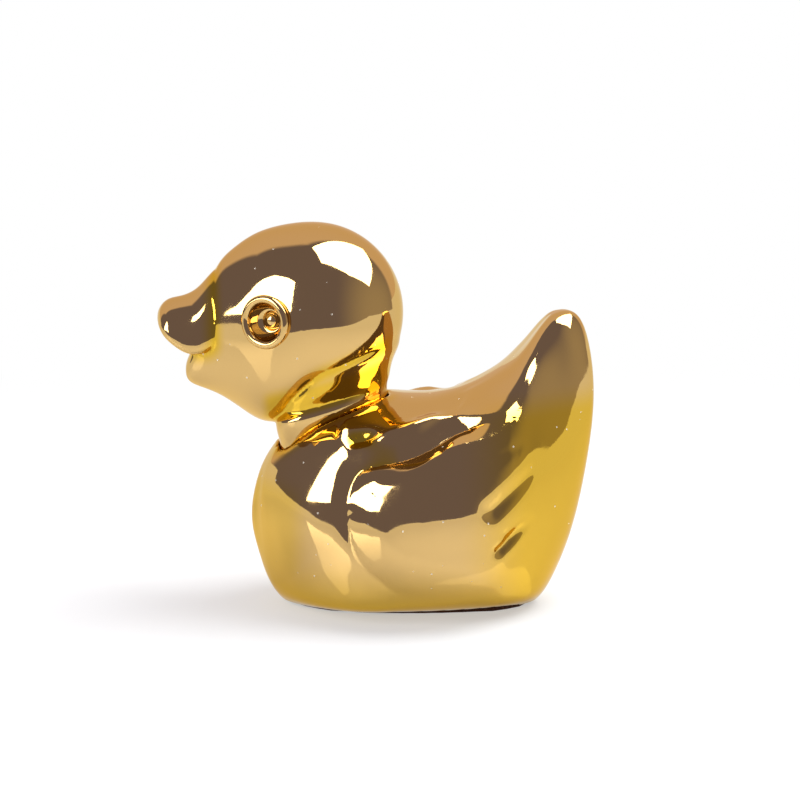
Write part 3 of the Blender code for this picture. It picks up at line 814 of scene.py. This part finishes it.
def make_eyes():
    pieces = []
    for name, place in eye_frames():
        cup = turned(cup_profile())
        bmesh.ops.transform(cup, matrix=place, verts=cup.verts)
        pieces.append((object_from(cup, f"gilt_{name}_eye_ring"), f"{name}_eye_cup"))
        bead = bmesh.new()
        around, along = EYE_BEAD_MESH
        bmesh.ops.create_uvsphere(
            bead, u_segments=around, v_segments=along, radius=EYE_BEAD_RADIUS
        )
        height = EYE_BEAD_RADIUS + EYE_BEAD_GAP - EYE_CUP_DEPTH
        bmesh.ops.translate(bead, vec=(0, 0, height), verts=bead.verts)
        bmesh.ops.transform(bead, matrix=place, verts=bead.verts)
        pieces.append((object_from(bead, f"gilt_{name}_pupil"), f"{name}_eye_bead"))
    return pieces


def new_material(name):
    made = bpy.data.materials.new(name)
    made.use_nodes = True
    return made, made.node_tree, made.node_tree.nodes["Principled BSDF"]


def show(tree, shader):
    tree.links.new(shader, tree.nodes["Material Output"].inputs["Surface"])


def object_place(tree):
    return tree.nodes.new("ShaderNodeTexCoord").outputs["Object"]


def attribute(tree, name):
    step = tree.nodes.new("ShaderNodeAttribute")
    step.attribute_name = name
    return step.outputs["Fac"]


def noise(tree, where, scale, detail, roughness):
    texture = tree.nodes.new("ShaderNodeTexNoise")
    texture.inputs["Scale"].default_value = scale
    texture.inputs["Detail"].default_value = detail
    texture.inputs["Roughness"].default_value = roughness
    tree.links.new(where, texture.inputs["Vector"])
    return texture.outputs["Fac"]


def mapped(tree, value, low, high, to_low, to_high):
    step = tree.nodes.new("ShaderNodeMapRange")
    step.interpolation_type = "SMOOTHSTEP"
    for socket, number in zip(step.inputs[1:5], (low, high, to_low, to_high)):
        socket.default_value = number
    tree.links.new(value, step.inputs[0])
    return step.outputs[0]


def bump(tree, height, distance, strength, below=None):
    step = tree.nodes.new("ShaderNodeBump")
    step.inputs["Distance"].default_value = distance
    step.inputs["Strength"].default_value = strength
    tree.links.new(height, step.inputs["Height"])
    if below is not None:
        tree.links.new(below, step.inputs["Normal"])
    return step.outputs["Normal"]


def combined(tree, operation, *values):
    """Joins values one after another by a math operation."""
    total = values[0]
    for value in values[1:]:
        step = tree.nodes.new("ShaderNodeMath")
        step.operation = operation
        tree.links.new(total, step.inputs[0])
        tree.links.new(value, step.inputs[1])
        total = step.outputs[0]
    return total


def blended(tree, share, first, second):
    """Mixes two colours, each given as a value or as a socket."""
    step = tree.nodes.new("ShaderNodeMix")
    step.data_type = "RGBA"
    for name, colour in (("A", first), ("B", second)):
        if isinstance(colour, bpy.types.NodeSocket):
            tree.links.new(colour, step.inputs[name])
        else:
            step.inputs[name].default_value = colour
    tree.links.new(share, step.inputs["Factor"])
    return step.outputs["Result"]


def mixed(tree, share, first, second):
    """Mixes two shaders."""
    step = tree.nodes.new("ShaderNodeMixShader")
    for socket, value in zip(step.inputs, (share, first, second)):
        tree.links.new(value, socket)
    return step.outputs[0]


def diffuse(tree, colour):
    step = tree.nodes.new("ShaderNodeBsdfDiffuse")
    step.inputs["Color"].default_value = colour
    return step.outputs[0]


def dust_grains(tree, where):
    """1 in small round grains, in some of the cells of a cell pattern, else 0."""
    cells = tree.nodes.new("ShaderNodeTexVoronoi")
    cells.inputs["Scale"].default_value = DUST_PER_METRE
    tree.links.new(where, cells.inputs["Vector"])
    chosen = tree.nodes.new("ShaderNodeSeparateColor")
    tree.links.new(cells.outputs["Color"], chosen.inputs[0])
    grains = mapped(tree, cells.outputs["Distance"], *DUST_GRAIN)
    return combined(tree, "MULTIPLY", grains, mapped(tree, chosen.outputs[0], *DUST_CHOICE))


def plating_material():
    """Bright gold plating with painted yellow reflection in its hollows, slow waves, smudges and
    dust.
    """
    made, tree, shader = new_material("gold_plating")
    where = object_place(tree)
    # Painted reflection: the plating's colour turns a deeper yellow in creases and hollows, for
    # gold reflecting gold.
    tone = blended(tree, attribute(tree, "painted_reflection"), PLATING, PAINTED_REFLECTION_TONE)
    tree.links.new(tone, shader.inputs["Base Color"])
    shader.inputs["Metallic"].default_value = 1.0
    shader.inputs["Specular Tint"].default_value = PLATING_EDGE
    smudges = mapped(tree, noise(tree, where, *SMUDGE_NOISE), *SMUDGE_ROUGHNESS)
    tree.links.new(smudges, shader.inputs["Roughness"])
    waves = bump(tree, noise(tree, where, *WAVE_NOISE), *WAVE_BUMP)
    peel = bump(tree, noise(tree, where, *PEEL_NOISE), *PEEL_BUMP, waves)
    tree.links.new(peel, shader.inputs["Normal"])
    grains = dust_grains(tree, where)
    show(tree, mixed(tree, grains, shader.outputs[0], diffuse(tree, DUST)))
    return made


def felt_material():
    made, tree, shader = new_material("brown_felt")
    fibres = noise(tree, object_place(tree), *FELT_NOISE)
    tone = blended(tree, mapped(tree, fibres, *FELT_RANGE), FELT, FELT_TIPS)
    tree.links.new(tone, shader.inputs["Base Color"])
    shader.inputs["Roughness"].default_value = FELT_ROUGHNESS
    shader.inputs["Sheen Weight"].default_value = FELT_SHEEN
    tree.links.new(bump(tree, fibres, *FELT_BUMP), shader.inputs["Normal"])
    return made


def steel_material():
    made, tree, shader = new_material("drawn_steel")
    shader.inputs["Base Color"].default_value = STEEL
    shader.inputs["Metallic"].default_value = 1.0
    stretch = tree.nodes.new("ShaderNodeMapping")
    stretch.inputs["Scale"].default_value = STEEL_STRETCH
    tree.links.new(object_place(tree), stretch.inputs["Vector"])
    drawn = noise(tree, stretch.outputs["Vector"], *STEEL_NOISE)
    tree.links.new(mapped(tree, drawn, *STEEL_ROUGHNESS), shader.inputs["Roughness"])
    tree.links.new(bump(tree, drawn, *STEEL_BUMP), shader.inputs["Normal"])
    return made


def seen(tree):
    """1 for rays from the camera and for those that metal and glass send on, else 0."""
    path = tree.nodes.new("ShaderNodeLightPath")
    kinds = ("Is Camera Ray", "Is Glossy Ray", "Is Transmission Ray")
    return combined(tree, "MAXIMUM", *[path.outputs[kind] for kind in kinds])


def white_glow(tree):
    glow = tree.nodes.new("ShaderNodeEmission")
    glow.inputs["Strength"].default_value = 1.0
    return glow.outputs[0]


def table_material():
    """A pale table top with a little gloss, which turns plain white far from the duck."""
    made, tree, shader = new_material("pale_table")
    shader.inputs["Base Color"].default_value = TABLE
    shader.inputs["Roughness"].default_value = TABLE_ROUGHNESS
    path = tree.nodes.new("ShaderNodeLightPath")
    plain = diffuse(tree, TABLE)
    top = mixed(tree, path.outputs["Is Camera Ray"], shader.outputs[0], plain)
    away = tree.nodes.new("ShaderNodeVectorMath")
    away.operation = "LENGTH"
    tree.links.new(object_place(tree), away.inputs[0])
    white = mapped(tree, away.outputs["Value"], *TABLE_WHITE)
    far = combined(tree, "MULTIPLY", white, seen(tree))
    show(tree, mixed(tree, far, top, white_glow(tree)))
    return made


def backdrop_material():
    made, tree, shader = new_material("pale_backdrop")
    shader.inputs["Base Color"].default_value = TABLE
    shader.inputs["Roughness"].default_value = BACKDROP_ROUGHNESS
    show(tree, mixed(tree, seen(tree), shader.outputs[0], white_glow(tree)))
    return made


def card(name, corners, finish, fringe=0.0):
    """A flat stage card through corners, whose level rises over a fringe inside its edge."""
    bm = bmesh.new()
    level = bm.verts.layers.float.new("level")
    face = bm.faces.new([bm.verts.new(corner) for corner in corners])
    if fringe:
        bmesh.ops.inset_individual(bm, faces=[face], thickness=fringe)
        for vert in face.verts:
            vert[level] = 1.0
    obj = object_from(bm, name)
    obj.data.materials.append(finish)
    return obj


def make_stage():
    side = STAGE_HALF_WIDTH

    def around(low, high):
        return (-side, low), (side, low), (side, high), (-side, high)

    table = [(x, y, 0) for x, y in around(*TABLE_REACH)]
    card("table", table, table_material())
    backdrop = [(x, BACKDROP_PLACE, z) for x, z in around(*BACKDROP_LEVELS)]
    card("backdrop", backdrop, backdrop_material())


def softbox(name, corners):
    """A glowing card that shows to the head at the given corners, as directions from the head."""
    corners = [Vector(corner).normalized() for corner in corners]
    facing = sum(corners, Vector()).normalized()
    head = Vector((HEAD_CENTRE[0], 0, HEAD_CENTRE[1]))
    corners = [head + corner * (SOFTBOX_DISTANCE / corner.dot(facing)) for corner in corners]
    centre = sum(corners, Vector()) / len(corners)
    half = SOFTBOX_FRINGE / 2
    corners = [corner + (corner - centre).normalized() * half for corner in corners]
    made, tree, shader = new_material(name)
    tree.nodes.remove(shader)
    glow = tree.nodes.new("ShaderNodeEmission")
    level = mapped(tree, attribute(tree, "level"), 0.0, 1.0, 0.0, SOFTBOX_GLOW)
    tree.links.new(level, glow.inputs["Strength"])
    show(tree, glow.outputs[0])
    obj = card(name, corners, made, SOFTBOX_FRINGE)
    obj.visible_camera = False


def make_room():
    """The world: a tan wall, and a darker room with a lighter end."""
    world = bpy.data.worlds.new("room")
    world.use_nodes = True
    tree = world.node_tree
    toward = tree.nodes.new("ShaderNodeTexCoord").outputs["Generated"]
    sides = []
    for plane in WALL_SIDES:
        over = tree.nodes.new("ShaderNodeVectorMath")
        over.operation = "DOT_PRODUCT"
        tree.links.new(toward, over.inputs[0])
        over.inputs[1].default_value = plane
        sides.append(over.outputs["Value"])
    past = combined(tree, "MINIMUM", *sides)
    right = tree.nodes.new("ShaderNodeSeparateXYZ")
    tree.links.new(toward, right.inputs[0])
    room = blended(tree, mapped(tree, right.outputs["X"], *ROOM_RANGE), ROOM, ROOM_RIGHT)
    walls = blended(tree, mapped(tree, past, *WALL_RANGE), room, WALL)
    tree.links.new(walls, tree.nodes["Background"].inputs["Color"])
    bpy.context.scene.world = world


def make_camera():
    data = bpy.data.cameras.new("camera")
    camera = bpy.data.objects.new("camera", data)
    lift = math.radians(CAMERA_ELEVATION)
    back = Vector((0, -math.cos(lift), math.sin(lift)))
    camera.location = (Vector(CAMERA_TARGET) + back * CAMERA_DISTANCE) * MM
    camera.rotation_euler = (math.pi / 2 - lift, 0, 0)
    data.sensor_width = SENSOR_WIDTH
    data.lens = SENSOR_WIDTH * CAMERA_DISTANCE / VIEW_WIDTH
    data.clip_start = NEAREST_SEEN
    bpy.context.scene.collection.objects.link(camera)
    bpy.context.scene.camera = camera


def main():
    make_camera()
    gold = plating_material()
    dressed = [(make_body(), "body"), (make_head(), "head"), *make_eyes()]
    for piece, node in dressed:
        piece.data.materials.clear()
        piece.data.materials.append(gold)
        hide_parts(node)
        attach(piece, "root")
    for node, finish in (("base_pad", felt_material()), ("neck_dowel", steel_material())):
        bpy.data.objects[node].data.materials.clear()
        bpy.data.objects[node].data.materials.append(finish)
    make_stage()
    softbox("overhead_box", OVERHEAD_BOX)
    softbox("side_box", SIDE_BOX)
    make_room()
    bpy.context.scene.view_settings.view_transform = "Standard"


main()
